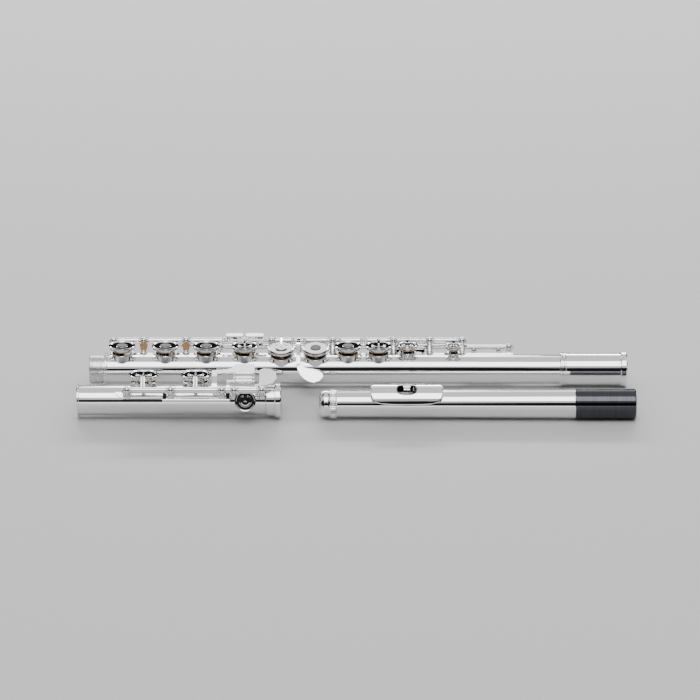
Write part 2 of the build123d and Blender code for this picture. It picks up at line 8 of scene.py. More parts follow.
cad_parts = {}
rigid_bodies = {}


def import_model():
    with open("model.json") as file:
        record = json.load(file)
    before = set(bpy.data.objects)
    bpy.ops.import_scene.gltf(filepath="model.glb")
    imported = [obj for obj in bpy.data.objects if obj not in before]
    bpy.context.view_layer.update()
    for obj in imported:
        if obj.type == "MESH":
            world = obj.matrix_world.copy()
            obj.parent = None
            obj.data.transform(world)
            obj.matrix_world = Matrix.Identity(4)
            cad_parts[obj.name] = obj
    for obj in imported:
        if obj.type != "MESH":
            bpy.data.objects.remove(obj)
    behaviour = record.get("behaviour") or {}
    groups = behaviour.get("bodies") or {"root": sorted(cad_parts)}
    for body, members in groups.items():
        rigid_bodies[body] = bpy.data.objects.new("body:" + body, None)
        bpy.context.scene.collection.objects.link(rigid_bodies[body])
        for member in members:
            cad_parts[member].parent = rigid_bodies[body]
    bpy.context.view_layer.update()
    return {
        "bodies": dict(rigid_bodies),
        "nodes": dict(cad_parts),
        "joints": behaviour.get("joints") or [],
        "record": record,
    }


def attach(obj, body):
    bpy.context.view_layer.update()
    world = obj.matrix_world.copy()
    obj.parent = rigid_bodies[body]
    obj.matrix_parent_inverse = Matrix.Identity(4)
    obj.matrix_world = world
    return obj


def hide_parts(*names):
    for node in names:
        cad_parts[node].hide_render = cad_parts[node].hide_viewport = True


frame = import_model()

MM = 0.001
NODES = frame["nodes"]

# origin of each joint on its tube's axis: D hole, open end of the foot, mouth hole;
# these and all sizes down to LUG_Z are in millimetres
BODY_AT = (-158.3, 20.92, 11.9)
FOOT_AT = (-186.2, -30.28, 11.8)
HEAD_AT = (33.5, -32.2, 10.05)
# how far each rod lies to the side of its tube's axis and above it
MAIN_ROD = (14.0, 14.9)
TRILL_ROD = (16.2, 9.4)
THUMB_ROD = (13.8, 1.5)
FOOT_ROD = (14.0, 13.4)
OPEN, THUMB_OPEN = 5.0, 4.0  # degrees that a key stands open at rest
G_LEAN, FOOT_LEAN = -12.0, -14.0  # degrees that a cup leans, positive towards the rod's side
MAIN_POST_ANGLE, TRILL_POST_ANGLE = 47, 58  # degrees from the top of the tube to a post's foot
STRAP_R = 11.3
PAD_FACE, CUP_RIM, CUP_FLOOR = 12.68, 13.7, 15.2
CHIMNEY_TOP = 12.6
PLUG_R = 3.3
ARM_TOP = 16.95  # middle of a pointed arm where it lies on its cup
HEAD_TURN = 20.0  # degrees that the mouth hole is rolled towards the front
CROWN_END = -46.5
KNURL_FROM, KNURL_DEPTH = 9.8, 0.28  # only radii past the first one are knurled
BODY_TENON_END = -12.5
HEAD_TENON_START = 112.4
# half length, half depth and squareness of the mouth hole and of the two halves of the plate
MOUTH_HOLE = (6.4, 5.1, 2.7)
PLATE_REAR, PLATE_FRONT = (24.0, 8.6, 3.1), (24.0, 12.0, 4.2)

# every cup: place along the tube, radius, lean, rod, angle it stands open, finger hole
Cup = namedtuple("Cup", "x radius lean rod angle hole")
CUPS = {
    "d": Cup(0.0, 9.1, 0.0, MAIN_ROD, OPEN, True),
    "e": Cup(29.3, 9.1, 0.0, MAIN_ROD, OPEN, True),
    "f": Cup(56.9, 9.1, 0.0, MAIN_ROD, OPEN, True),
    "f_sharp": Cup(83.0, 9.1, 0.0, MAIN_ROD, OPEN, False),
    "g_lower": Cup(107.6, 9.1, G_LEAN, MAIN_ROD, OPEN, False),
    "g_upper": Cup(130.8, 9.1, G_LEAN, MAIN_ROD, OPEN, True),
    "a": Cup(152.7, 9.1, 0.0, MAIN_ROD, OPEN, True),
    "b_flat": Cup(173.4, 9.1, 0.0, MAIN_ROD, OPEN, False),
    "small_c": Cup(224.0, 5.8, 0.0, MAIN_ROD, OPEN, False),
    "thumb_b": Cup(192.9, 7.3, 4.0, THUMB_ROD, THUMB_OPEN, False),
    "g_sharp": Cup(119.2, 7.0, 100.0, MAIN_ROD, 0.0, False),
    "d_sharp_trill": Cup(238.3, 5.0, 97.0, TRILL_ROD, 0.0, False),
    "d_trill": Cup(255.0, 5.0, 97.0, TRILL_ROD, 0.0, False),
    "low_c": Cup(44.5, 10.4, FOOT_LEAN, FOOT_ROD, OPEN, False),
    "low_c_sharp": Cup(79.3, 10.4, FOOT_LEAN, FOOT_ROD, OPEN, False),
    "low_d_sharp": Cup(112.5, 7.2, 68.0, FOOT_ROD, 0.0, False),
}
# where each hinge tube of the main row and of the foot starts and stops
SPANS = {
    "d": (-3.4, 11.3), "e": (16.9, 40.1), "f": (45.7, 69.8), "f_sharp": (70.2, 98.0),
    "g_lower": (103.6, 116.6), "g_upper": (122.0, 139.5), "a": (145.1, 163.0),
    "b_flat": (163.4, 180.8), "small_c": (210.7, 227.3), "low_c": (36.7, 60.3),
    "low_c_sharp": (65.7, 94.3), "low_d_sharp": (107.7, 120.7),
}
MAIN_POSTS = (-6.2, 14.1, 42.9, 100.8, 142.3, 183.6, 208.0, 230.0)
TRILL_POSTS = (66.0, 262.0)
FOOT_POSTS = (34.0, 63.0, 97.0, 105.0, 123.4)
# hinge tubes that carry an adjusting lug, and where it sits
LUGS = (("f", 68.2), ("f_sharp", 96.4), ("f_sharp", 71.9), ("a", 147.2), ("a", 161.6),
        ("b_flat", 164.9), ("g_lower", 115.3), ("g_upper", 123.4))
LUG_Y, LUG_Z = (9.9, 13.6), 16.4

# the view and the room, in metres; the lens is in millimetres, the elevation in degrees
CAMERA_ELEVATION = 23.5
CAMERA_DISTANCE = 3.0
CAMERA_AIM = (-0.00424, 0.0, 0.03511)
CAMERA_LENS = 230.0
FLOOR_HALF = 4.0
LIGHT_AT, LIGHT_AIM = (0.0, 1.753, 0.963), (0.0, 0.0, 0.01)
LIGHT_SIZE, LIGHT_POWER = (2.4, 0.15), 22.0
WORLD_STRENGTH = 10.0
# greys of the world by place round the X axis: 0 is the front horizon, 0.5 straight up,
# 1 the rear horizon; UPPER is what the left and right half share, SIDE is for both ends
UPPER = [(0.264, 0.45), (0.445, 0.45), (0.455, 0.09), (0.72, 0.09), (0.735, 0.13),
         (0.80, 0.20), (0.875, 0.34), (0.885, 0.001), (1.00, 0.001)]
BANDS_LEFT = [(0.00, 0.16), (0.045, 0.16), (0.055, 0.002), (0.150, 0.002), (0.160, 0.10),
              (0.175, 0.10), (0.185, 0.01), (0.200, 0.01), (0.215, 0.16), (0.25, 0.22)] + UPPER
BANDS_RIGHT = [(0.00, 0.16), (0.035, 0.16), (0.045, 0.001), (0.175, 0.001), (0.185, 0.10),
               (0.200, 0.10), (0.208, 0.004), (0.228, 0.004), (0.245, 0.16)] + UPPER
BANDS_SIDE = [(0.00, 0.002), (0.32, 0.002), (0.36, 0.10), (0.54, 0.10), (0.58, 0.004),
              (0.70, 0.004), (0.74, 0.12), (0.84, 0.12), (0.87, 0.001), (1.00, 0.001)]
# X parts of a direction between which one set of bands turns into the next
MIDDLE_FADE, SIDE_FADE = (-0.03, 0.03), (0.16, 0.30)


# ---- frames ----
def at(joint):
    """Place of a joint's tube axis; the foot joint is described mirrored front to rear."""
    move = Matrix.Translation(Vector(joint) * MM)
    return move @ Matrix.Diagonal((1, -1, 1, 1)) if joint is FOOT_AT else move


def turned(angle):
    return Matrix.Rotation(radians(angle), 4, "X")


def leaned(x, lean):
    """Frame of a cup at x along the tube, leaned towards the rod's side."""
    return Matrix.Translation((x * MM, 0, 0)) @ turned(-lean)


def swung(rod, angle):
    """Turn of a key that opens by an angle about its rod."""
    pivot = Vector((0, *rod)) * MM
    return Matrix.Translation(pivot) @ turned(-angle) @ Matrix.Translation(-pivot)


def joint_of(name):
    return FOOT_AT if name.startswith("low_") else BODY_AT


def key_frame(name):
    """From a key's closed place on its joint to where it stands at rest."""
    cup = CUPS[name]
    return at(joint_of(name)) @ swung(cup.rod, cup.angle)


# ---- mesh helpers: sizes in millimetres ----
class Shape:
    """Closed shells gathered into one piece."""

    def __init__(self, frame=None):
        self.form = bmesh.new()
        self.frame = frame or Matrix.Identity(4)

    def ring(self, points, frame=None):
        place = self.frame @ (frame or Matrix.Identity(4))
        return [self.form.verts.new(place @ (Vector(p) * MM)) for p in points]

    def bridge(self, a, b):
        """Faces between two rings, or between a ring and a single point."""
        count = max(len(a), len(b))
        for i in range(count):
            j = (i + 1) % count
            if len(a) == 1:
                self.form.faces.new((a[0], b[j], b[i]))
            elif len(b) == 1:
                self.form.faces.new((a[i], a[j], b[0]))
            else:
                self.form.faces.new((a[i], a[j], b[j], b[i]))

    def lathe(self, profile, frame=None, steps=32, loop=False, tooth=None):
        """Turns (radius, height) points round the frame's Z axis.

        loop joins the last point to the first; tooth(i) is how deep step i of a
        knurled band is cut."""
        rings = []
        for radius, height in profile:
            count = 1 if radius == 0 else steps
            points = []
            for i in range(count):
                angle = 2 * pi * i / count
                r = radius - (tooth(i) if tooth and radius > KNURL_FROM else 0.0)
                points.append((r * cos(angle), r * sin(angle), height))
            rings.append(self.ring(points, frame))
        pairs = list(zip(rings, rings[1:])) + ([(rings[-1], rings[0])] if loop else [])
        for a, b in pairs:
            self.bridge(a, b)

    def loft(self, outlines, frame=None):
        """Skin over outlines of equal length, closed at both ends."""
        rings = [self.ring(points, frame) for points in outlines]
        for a, b in zip(rings, rings[1:]):
            self.bridge(a, b)
        self.form.faces.new(list(reversed(rings[0])))
        self.form.faces.new(rings[-1])

    def wire(self, path, radii):
        """Round wire along a path; its radius may change from point to point."""
        path = [Vector(p) for p in path]
        steps = 10
        rings = []
        for i, (point, r) in enumerate(zip(path, radii)):
            ahead = path[min(i + 1, len(path) - 1)] - path[max(i - 1, 0)]
            turn = ahead.to_track_quat("Z", "X")
            around = [(r * cos(2 * pi * k / steps), r * sin(2 * pi * k / steps), 0)
                      for k in range(steps)]
            rings.append([point + turn @ Vector(p) for p in around])
        self.loft(rings)

    def finish(self, name, body, material, slot, smooth=40.0):
        """Makes the piece; edges sharper than smooth, in degrees, stay crisp."""
        bmesh.ops.recalc_face_normals(self.form, faces=self.form.faces)
        mesh = bpy.data.meshes.new(name)
        self.form.to_mesh(mesh)
        self.form.free()
        piece = bpy.data.objects.new(name, mesh)
        bpy.context.scene.collection.objects.link(piece)
        mesh.materials.append(material)
        mesh.polygons.foreach_set("use_smooth", [True] * len(mesh.polygons))
        mesh.set_sharp_from_angle(angle=radians(smooth))
        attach(piece, body)
        return piece


def along_x(x, y=0.0, z=0.0, flip=False):
    """Frame at a point whose Z axis runs along the tube."""
    move = Matrix.Translation(Vector((x, y, z)) * MM)
    return move @ Matrix.Rotation(radians(-90 if flip else 90), 4, "Y")


# ---- node helpers ----
class Tree:
    """Short way to write a shader's nodes."""

    def __init__(self, tree):
        self.tree = tree
        self.tree.nodes.clear()

    def add(self, kind, inputs=None, **settings):
        """New node; each input is a value, or the socket that feeds it."""
        node = self.tree.nodes.new(kind)
        for key, value in settings.items():
            setattr(node, key, value)
        for key, value in (inputs or {}).items():
            if isinstance(value, bpy.types.NodeSocket):
                self.tree.links.new(value, node.inputs[key])
            else:
                node.inputs[key].default_value = value
        return node

    def math(self, operation, a, b=0.0):
        return self.add("ShaderNodeMath", {0: a, 1: b}, operation=operation).outputs[0]

    def ramp(self, value, stops):
        node = self.add("ShaderNodeValToRGB", {0: value})
        first, *rest = stops
        items = node.color_ramp.elements
        while len(items) > 1:
            items.remove(items[-1])
        items[0].position, items[0].color = first[0], colour(first[1])
        for place, tint in rest:
            items.new(place).color = colour(tint)
        return node.outputs[0]

    def noise(self, vector, scale, detail=3.0, rough=0.55):
        inputs = {"Vector": vector, "Scale": scale, "Detail": detail, "Roughness": rough}
        return self.add("ShaderNodeTexNoise", inputs).outputs["Fac"]

    def stretched(self, vector, x, y, z):
        node = self.add("ShaderNodeMapping", {"Vector": vector, "Scale": (x, y, z)})
        return node.outputs[0]

    def mix(self, factor, a, b):
        node = self.add("ShaderNodeMix", data_type="RGBA")
        for key, value in (("Factor", factor), ("A", a), ("B", b)):
            socket = [s for s in node.inputs if s.name == key and
                      (s.type == "RGBA" or key == "Factor") and s.enabled][0]
            if isinstance(value, bpy.types.NodeSocket):
                self.tree.links.new(value, socket)
            else:
                socket.default_value = value if key == "Factor" else colour(value)
        return [s for s in node.outputs if s.type == "RGBA"][0]

    def fade(self, value, start, end, low=0.0, high=1.0):
        """From low to high while the value goes from start to end."""
        inputs = {0: value, 1: start, 2: end, 3: low, 4: high}
        return self.add("ShaderNodeMapRange", inputs).outputs[0]

    def bump(self, height, strength, distance):
        inputs = {"Height": height, "Strength": strength, "Distance": distance}
        return self.add("ShaderNodeBump", inputs).outputs[0]


def colour(value):
    """RGBA from a grey level or from an RGB triple."""
    if isinstance(value, (int, float)):
        return (value, value, value, 1.0)
    return (*value, 1.0)


def new_material(name):
    material = bpy.data.materials.new(name)
    material.use_nodes = True
    tree = Tree(material.node_tree)
    place = tree.add("ShaderNodeTexCoord").outputs["Object"]
    return material, tree, place


def close_material(tree, inputs):
    shader = tree.add("ShaderNodeBsdfPrincipled", inputs)
    tree.add("ShaderNodeOutputMaterial", {"Surface": shader.outputs[0]})


def silver(name, low=0.01, high=0.04, wear=0.25, ripple=0.03, worn_end=None, dark_reflection_from=None):
    """Polished silver plate: faint haze, fine rubbing marks along X, warm tarnish in spots.

    Roughness goes from low to high. A rubbed tenon lies to the left of worn_end; right of
    dark_reflection_from the tenon gets a near-black base colour, a painted dark reflection. Both
    are in metres along X."""
    material, tree, place = new_material(name)
    tint = (0.88, 0.88, 0.89)
    haze = tree.noise(place, 90.0, 4.0, 0.6)
    rubs = tree.noise(tree.stretched(place, 60.0, 900.0, 900.0), 1.0, 3.0, 0.6)
    spots = tree.noise(place, 420.0, 5.0, 0.65)
    tarnish = tree.ramp(spots, [(0.60, 0.0), (0.74, 1.0)])
    amount = tree.math("MULTIPLY", tarnish, wear)
    warm = (tint[0] * 0.82, tint[1] * 0.76, tint[2] * 0.66)
    base = tree.mix(amount, tint, warm)
    both = tree.math("ADD", tree.math("MULTIPLY", haze, 0.6), tree.math("MULTIPLY", rubs, 0.4))
    rough = tree.fade(both, 0.3, 0.75, low, high)
    height = tree.noise(place, 160.0, 2.0)
    along = tree.add("ShaderNodeSeparateXYZ", {0: place}).outputs[0]
    if worn_end is not None:
        inside = tree.math("LESS_THAN", along, worn_end)
        turns = tree.noise(tree.stretched(place, 2600.0, 260.0, 260.0), 1.0, 4.0, 0.7)
        marks = tree.ramp(turns, [(0.42, (0.46, 0.45, 0.43)), (0.58, (0.86, 0.86, 0.86))])
        base = tree.mix(inside, base, marks)
        rough = tree.math("ADD", rough, tree.math("MULTIPLY", inside, 0.28))
        height = tree.math("ADD", height, tree.math("MULTIPLY", turns, inside))
    # painted dark reflection: a near-black base colour on the head tenon stands in for the dark
    # that it mirrors
    if dark_reflection_from is not None:
        inside = tree.math("GREATER_THAN", along, dark_reflection_from)
        turns = tree.noise(tree.stretched(place, 1800.0, 90.0, 90.0), 1.0, 3.0, 0.6)
        painted_dark_reflection = tree.ramp(turns, [(0.3, (0.055, 0.055, 0.065)), (0.7, (0.085, 0.085, 0.10))])
        base = tree.mix(inside, base, painted_dark_reflection)
        rough = tree.math("ADD", rough, tree.math("MULTIPLY", inside, 0.10))
    normal = tree.bump(height, ripple, 0.0004)
    close_material(tree, {"Base Color": base, "Metallic": 1.0, "Roughness": rough,
                          "Normal": normal})
    return material


def steel(name, tint):
    material, tree, place = new_material(name)
    lines = tree.noise(tree.stretched(place, 3000.0, 200.0, 200.0), 1.0, 2.0)
    base = tree.mix(lines, tint, tuple(c * 0.82 for c in tint))
    rough = tree.fade(lines, 0.0, 1.0, 0.14, 0.3)
    close_material(tree, {"Base Color": base, "Metallic": 1.0, "Roughness": rough,
                          "Normal": tree.bump(lines, 0.1, 0.0001)})
    return material


def pad_skin():
    """Goldbeater's skin over felt: tan in uneven patches, finely wrinkled."""
    material, tree, place = new_material("pad_skin")
    patches = tree.noise(place, 260.0, 4.0, 0.6)
    fibres = tree.noise(tree.stretched(place, 900.0, 900.0, 3000.0), 1.0, 4.0, 0.7)
    base = tree.ramp(patches, [(0.3, (0.62, 0.37, 0.14)), (0.55, (0.78, 0.50, 0.22)),
                               (0.75, (0.86, 0.60, 0.31))])
    base = tree.mix(tree.math("MULTIPLY", fibres, 0.4), base, (0.34, 0.20, 0.08))
    close_material(tree, {"Base Color": base, "Roughness": 0.62,
                          "Sheen Weight": 0.25, "Normal": tree.bump(fibres, 0.35, 0.0002)})
    return material


def plug_plastic():
    """Matte grey moulded plug, slightly mottled."""
    material, tree, place = new_material("plug_plastic")
    grain = tree.noise(place, 2600.0, 3.0, 0.6)
    patches = tree.noise(place, 300.0, 3.0)
    base = tree.ramp(patches, [(0.3, (0.13, 0.125, 0.12)), (0.7, (0.18, 0.172, 0.162))])
    close_material(tree, {"Base Color": base, "Roughness": 0.55,
                          "Normal": tree.bump(grain, 0.25, 0.0001)})
    return material


def cork():
    material, tree, place = new_material("cork")
    cells = tree.add("ShaderNodeTexVoronoi", {"Vector": place, "Scale": 1400.0})
    base = tree.ramp(cells.outputs["Distance"], [(0.0, (0.26, 0.12, 0.04)),
                                                 (0.6, (0.62, 0.37, 0.15))])
    close_material(tree, {"Base Color": base, "Roughness": 0.8,
                          "Normal": tree.bump(cells.outputs["Distance"], 0.4, 0.0002)})
    return material


# ---- world and light ----
def make_world():
    """Studio as mirror metal sees it: bands of light across the tubes, dark to both sides."""
    world = bpy.data.worlds.new("studio")
    world.use_nodes = True
    bpy.context.scene.world = world
    tree = Tree(world.node_tree)
    way = tree.add("ShaderNodeSeparateXYZ",
                   {0: tree.add("ShaderNodeTexCoord").outputs["Generated"]})
    front = tree.math("MULTIPLY", way.outputs[1], -1.0)
    angle = tree.math("ARCTAN2", way.outputs[2], front)
    turn = tree.math("DIVIDE", angle, pi)
    side = tree.fade(way.outputs[0], *MIDDLE_FADE)
    bands = tree.mix(side, tree.ramp(turn, BANDS_LEFT), tree.ramp(turn, BANDS_RIGHT))
    edge = tree.fade(tree.math("ABSOLUTE", way.outputs[0]), *SIDE_FADE)
    colours = tree.mix(edge, bands, tree.ramp(turn, BANDS_SIDE))
    back = tree.add("ShaderNodeBackground", {"Color": colours, "Strength": WORLD_STRENGTH})
    tree.add("ShaderNodeOutputWorld", {"Surface": back.outputs[0]})


def make_light():
    """Long, narrow light behind the flute, mirrored by the flats of the keys."""
    data = bpy.data.lights.new("rear_soft", "AREA")
    data.shape = "RECTANGLE"
    data.size, data.size_y = LIGHT_SIZE
    data.energy = LIGHT_POWER
    light = bpy.data.objects.new("rear_soft", data)
    bpy.context.scene.collection.objects.link(light)
    place = Vector(LIGHT_AT)
    light.location = place
    light.rotation_euler = (Vector(LIGHT_AIM) - place).to_track_quat("-Z", "Y").to_euler()


def make_floor():
    mesh = bpy.data.meshes.new("floor")
    form = bmesh.new()
    bmesh.ops.create_grid(form, x_segments=8, y_segments=8, size=FLOOR_HALF)
    form.to_mesh(mesh)
    form.free()
    floor = bpy.data.objects.new("floor", mesh)
    bpy.context.scene.collection.objects.link(floor)
    material, tree, place = new_material("floor_paper")
    grain = tree.noise(place, 700.0, 4.0)
    base = tree.ramp(grain, [(0.3, 0.74), (0.7, 0.78)])
    close_material(tree, {"Base Color": base, "Roughness": 0.7})
    mesh.materials.append(material)


def make_camera():
    elevation = radians(CAMERA_ELEVATION)
    data = bpy.data.cameras.new("camera")
    data.lens = CAMERA_LENS
    data.sensor_width = 36.0
    camera = bpy.data.objects.new("camera", data)
    bpy.context.scene.collection.objects.link(camera)
    away = Vector((0.0, -cos(elevation), sin(elevation)))
    camera.location = Vector(CAMERA_AIM) + away * CAMERA_DISTANCE
    camera.rotation_euler = (-away).to_track_quat("-Z", "Y").to_euler()
    bpy.context.scene.camera = camera


# ---- dressing the CAD nodes ----
def dress(look):
    """Gives every CAD node its material; the three tubes have one of their own."""
    plain = ("rib_", "barrel", "riser", "crown", "stopper_screw", "lip_plate")
    for name, node in NODES.items():
        if name.startswith("plug_"):
            material = look["plastic"]
        elif name.startswith("pad_"):
            material = look["skin"]
        elif name.startswith("steel_"):
            material = look["rods"]
        elif name in ("stopper_cork", "cork_bumpers"):
            material = look["cork"]
        elif name.startswith(("key_", "lever_", "roller_")):
            material = look["keys"]
        elif name.startswith(plain):
            material = look["plate"]
        else:
            material = look[name]
        node.data.materials.clear()
        node.data.materials.append(material)


# ---- pads: felt discs in a tight skin, dented where the tone hole presses ----
def make_pads(look):
    for name, cup in CUPS.items():
        edge, inner = cup.radius - 1.6, PLUG_R + 0.5
        seat = cup.radius - 2.1
        face, top = PAD_FACE, CUP_FLOOR
        outer = [(edge - 0.9, face + 0.02), (edge - 0.45, face + 0.12), (edge - 0.1, face + 0.36),
                 (edge + 0.06, face + 0.7), (edge, CUP_RIM + 0.05), (edge - 0.02, top)]
        dent = [(seat - 0.75, face), (seat - 0.55, face + 0.10), (seat - 0.40, face + 0.10)]
        shape = Shape(key_frame(name) @ leaned(cup.x, cup.lean))
        if cup.hole:
            profile = [(inner, face + 0.25), (inner + 0.25, face)] + dent + outer + [(inner, top)]
            shape.lathe(profile, steps=72, loop=True)
        else:
            shape.lathe([(0, face), (0.5, face)] + dent + outer + [(0, top)], steps=72)
        piece = shape.finish(f"felt_pad_{name}", f"key_{name}", look["skin"], "pads")
        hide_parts(f"pad_{name}")


# ---- screws, ridges, collars, posts, springs, lugs and rims ----
def screw_head(shape, frame, radius, height=0.75, slot=0.5):
    """Cheese head with a slot: a disc and two half moons on it, facing the frame's +Z."""
    foot, bevel, shrink = 0.32, 0.14, 0.86
    shape.lathe([(0, 0), (radius, 0), (radius, foot), (0, foot)], frame, 28)
    half = slot / 2
    start = asin(half / radius)
    for side in (1, -1):
        arc = [start + (pi - 2 * start) * i / 10 for i in range(11)]
        rim = [(radius * cos(a), side * radius * sin(a)) for a in arc]
        small = [(shrink * x, side * half + shrink * (y - side * half)) for x, y in rim]
        shape.loft([[(x, y, foot) for x, y in rim], [(x, y, height - bevel) for x, y in rim],
                    [(x, y, height) for x, y in small]], frame)


def arm_ridges(look):
    """Raised spine along every pointed arm, from the cup's centre down to the hinge tube."""
    for name in ("f_sharp", "g_lower", "b_flat", "small_c", "low_c", "low_c_sharp"):
        cup = CUPS[name]
        tilt = radians(cup.lean)
        y, z = cup.rod
        hinge_y, hinge_z = y * cos(tilt) - z * sin(tilt), y * sin(tilt) + z * cos(tilt)
        knee = cup.radius + 0.3 if hinge_y > cup.radius + 0.6 else hinge_y - 0.4
        across, upright = Vector((1, 0, 0)), Vector((0, 0, 1))
        drop = Vector((0, hinge_y - knee, hinge_z - ARM_TOP)).normalized()
        sloped = Vector((0, -drop.z, drop.y))
        path = [(Vector((0, 0.6, ARM_TOP)), upright, 0.2),
                (Vector((0, 2.0, ARM_TOP)), upright, 0.55),
                (Vector((0, knee, ARM_TOP)), (sloped + upright).normalized(), 0.75),
                (Vector((0, hinge_y, hinge_z)) - drop * 2.2, sloped, 0.85)]
        shape = Shape(key_frame(name) @ leaned(cup.x, cup.lean))
        rings = []
        for point, rise, width in path:
            profile = ((-width, 0.35), (-width, 0.72), (-width * 0.35, 0.98), (0, 1.06),
                       (width * 0.35, 0.98), (width, 0.72), (width, 0.35))
            rings.append([point + across * a + rise * b for a, b in profile])
        shape.loft(rings)
        shape.finish(f"arm_ridge_{name}", f"key_{name}", look["keys"], "silver", 25.0)


def rod_screws(look):
    """Slotted heads on the outer faces of the first and last post of each rod."""
    sets = (("body", BODY_AT, "body_joint", MAIN_ROD, -8.6, 232.4, 1.5),
            ("thumb", BODY_AT, "body_joint", THUMB_ROD, 177.9, 208.1, 1.25),
            ("trill", BODY_AT, "key_d_trill", TRILL_ROD, 63.6, 264.4, 1.3),
            ("foot", FOOT_AT, "foot_joint", FOOT_ROD, 31.5, 125.9, 1.5))
    for name, joint, body, rod, start, end, radius in sets:
        shape = Shape(at(joint))
        screw_head(shape, along_x(start, *rod, flip=True), radius)
        screw_head(shape, along_x(end, *rod), radius)
        shape.finish(f"rod_screws_{name}", body, look["steel"], "steel", 30.0)


def collars(look):
    """Turned collars at both ends of every hinge tube."""
    profile = [(1.9, 0.0), (2.28, 0.0), (2.42, 0.12), (2.42, 0.3), (2.3, 0.4), (2.42, 0.5),
               (2.42, 0.68), (2.28, 0.8), (1.9, 0.8)]
    for name, (start, end) in SPANS.items():
        shape = Shape(key_frame(name))
        for x in (start + 0.05, end - 0.85):
            shape.lathe(profile, along_x(x, *CUPS[name].rod), loop=True)
        shape.finish(f"collars_{name}", f"key_{name}", look["keys"], "silver", 30.0)


def post_feet(look):
    """Turned flange where each post stands on its strap, and the bead round its neck."""
    sets = (("main", BODY_AT, "body_joint", MAIN_ROD, MAIN_POST_ANGLE, MAIN_POSTS),
            ("trill", BODY_AT, "body_joint", TRILL_ROD, TRILL_POST_ANGLE, TRILL_POSTS),
            ("foot", FOOT_AT, "foot_joint", FOOT_ROD, MAIN_POST_ANGLE, FOOT_POSTS))
    for name, joint, body, rod, angle, places in sets:
        foot = Vector((0, STRAP_R * sin(radians(angle)), STRAP_R * cos(radians(angle))))
        run = Vector((0, *rod)) - foot
        turn = run.to_track_quat("Z", "X").to_matrix().to_4x4()
        neck = run.length - 3.0
        shape = Shape(at(joint))
        for x in places:
            move = Matrix.Translation(Vector((x, foot.y, foot.z)) * MM) @ turn
            shape.lathe([(0, -0.5), (3.0, -0.5), (3.05, 0.1), (2.9, 0.35), (2.5, 0.5),
                         (2.28, 0.8), (2.2, 1.2), (0, 1.2)], move)
            shape.lathe([(1.2, neck - 0.5), (1.75, neck - 0.4), (1.95, neck - 0.15),
                         (1.95, neck + 0.1), (1.75, neck + 0.35), (1.2, neck + 0.45)],
                        move, 28, loop=True)
        shape.finish(f"post_feet_{name}", body, look["plate"], "silver", 50.0)


def springs(look):
    """Needle springs: blued wire from a post's stem to a catch under the hinge tube.

    Each wire is its post, the way it runs along the tube, and its length."""
    sets = (("body", BODY_AT, "body_joint", MAIN_ROD,
             ((-6.2, 1, 12.0), (42.9, -1, 13.0), (42.9, 1, 13.0), (100.8, -1, 13.0),
              (142.3, -1, 12.0), (142.3, 1, 11.5), (183.6, -1, 13.0), (208.0, 1, 12.0),
              (230.0, -1, 10.0))),
            ("foot", FOOT_AT, "foot_joint", FOOT_ROD,
             ((34.0, 1, 15.0), (63.0, 1, 14.0), (97.0, -1, 14.0), (123.4, -1, 10.0))))
    for name, joint, body, rod, wires in sets:
        shape, butts = Shape(at(joint)), Shape(at(joint))
        y, z = rod[0] - 2.35, rod[1] - 2.9
        for x, side, length in wires:
            path = [(x - side * 3.0, y, z), (x, y, z), (x + side * length * 0.5, y + 0.15, z + 0.1),
                    (x + side * length, y + 0.5, z + 0.35)]
            shape.wire(path, (0.28, 0.28, 0.24, 0.12))
            butts.lathe([(0, 0), (0.42, 0), (0.5, 0.15), (0.42, 0.4), (0, 0.4)],
                        along_x(x - side * 3.0, y, z, flip=side > 0), 16)
        shape.finish(f"needle_springs_{name}", body, look["blue"], "steel", 60.0)
        butts.finish(f"spring_butts_{name}", body, look["blue"], "steel")


def rounded(x0, x1, y0, y1, corner, height):
    """Outline of a rectangle with round corners at one height."""
    steps = 4
    points = []
    for cx, cy, start in ((x1 - corner, y1 - corner, 0), (x0 + corner, y1 - corner, 90),
                          (x0 + corner, y0 + corner, 180), (x1 - corner, y0 + corner, 270)):
        for i in range(steps + 1):
            a = radians(start + 90 * i / steps)
            points.append((cx + corner * cos(a), cy + corner * sin(a), height))
    return points


def lugs(look):
    """Small arms on the hinge tubes, and the adjusting screws that they carry."""
    (y0, y1), z = LUG_Y, LUG_Z
    for i, (name, x) in enumerate(LUGS):
        place = key_frame(name)
        arm, screw = Shape(place), Shape(place)
        arm.loft([rounded(x - w, x + w, y0 + c, y1, r, z + h) for w, c, r, h in
                  ((0.75, 0.2, 0.5, -0.75), (0.95, 0.0, 0.6, -0.55), (0.95, 0.0, 0.6, 0.35),
                   (0.75, 0.2, 0.5, 0.55))])
        move = Matrix.Translation(Vector((x, y0 + 1.0, z - 1.6)) * MM)
        screw.lathe([(0, 0), (0.35, 0.05), (0.5, 0.3), (0.5, 2.2), (0, 2.2)], move, 20)
        head = Matrix.Translation(Vector((x, y0 + 1.0, z + 0.5)) * MM)
        screw_head(screw, head, 0.8, 0.7, 0.26)
        arm.finish(f"adjusting_lug_{i}", f"key_{name}", look["keys"], "silver", 35.0)
        screw.finish(f"adjusting_screw_{i}", f"key_{name}", look["steel"], "steel", 35.0)


def hole_rims(look):
    """Rolled beads round the tone holes."""
    small, steps = 0.42, 12
    centre = CHIMNEY_TOP - 0.02 - small
    for body, joint in (("body_joint", BODY_AT), ("foot_joint", FOOT_AT)):
        shape = Shape(at(joint))
        for cup in [cup for name, cup in CUPS.items() if joint_of(name) is joint]:
            middle = cup.radius - 1.85
            angles = [2 * pi * i / steps for i in range(steps)]
            bead = [(middle + small * cos(a), centre + small * sin(a)) for a in angles]
            shape.lathe(bead, leaned(cup.x, cup.lean), 64, loop=True)
        shape.finish(f"hole_rims_{body}", body, look["plate"], "silver", 60.0)


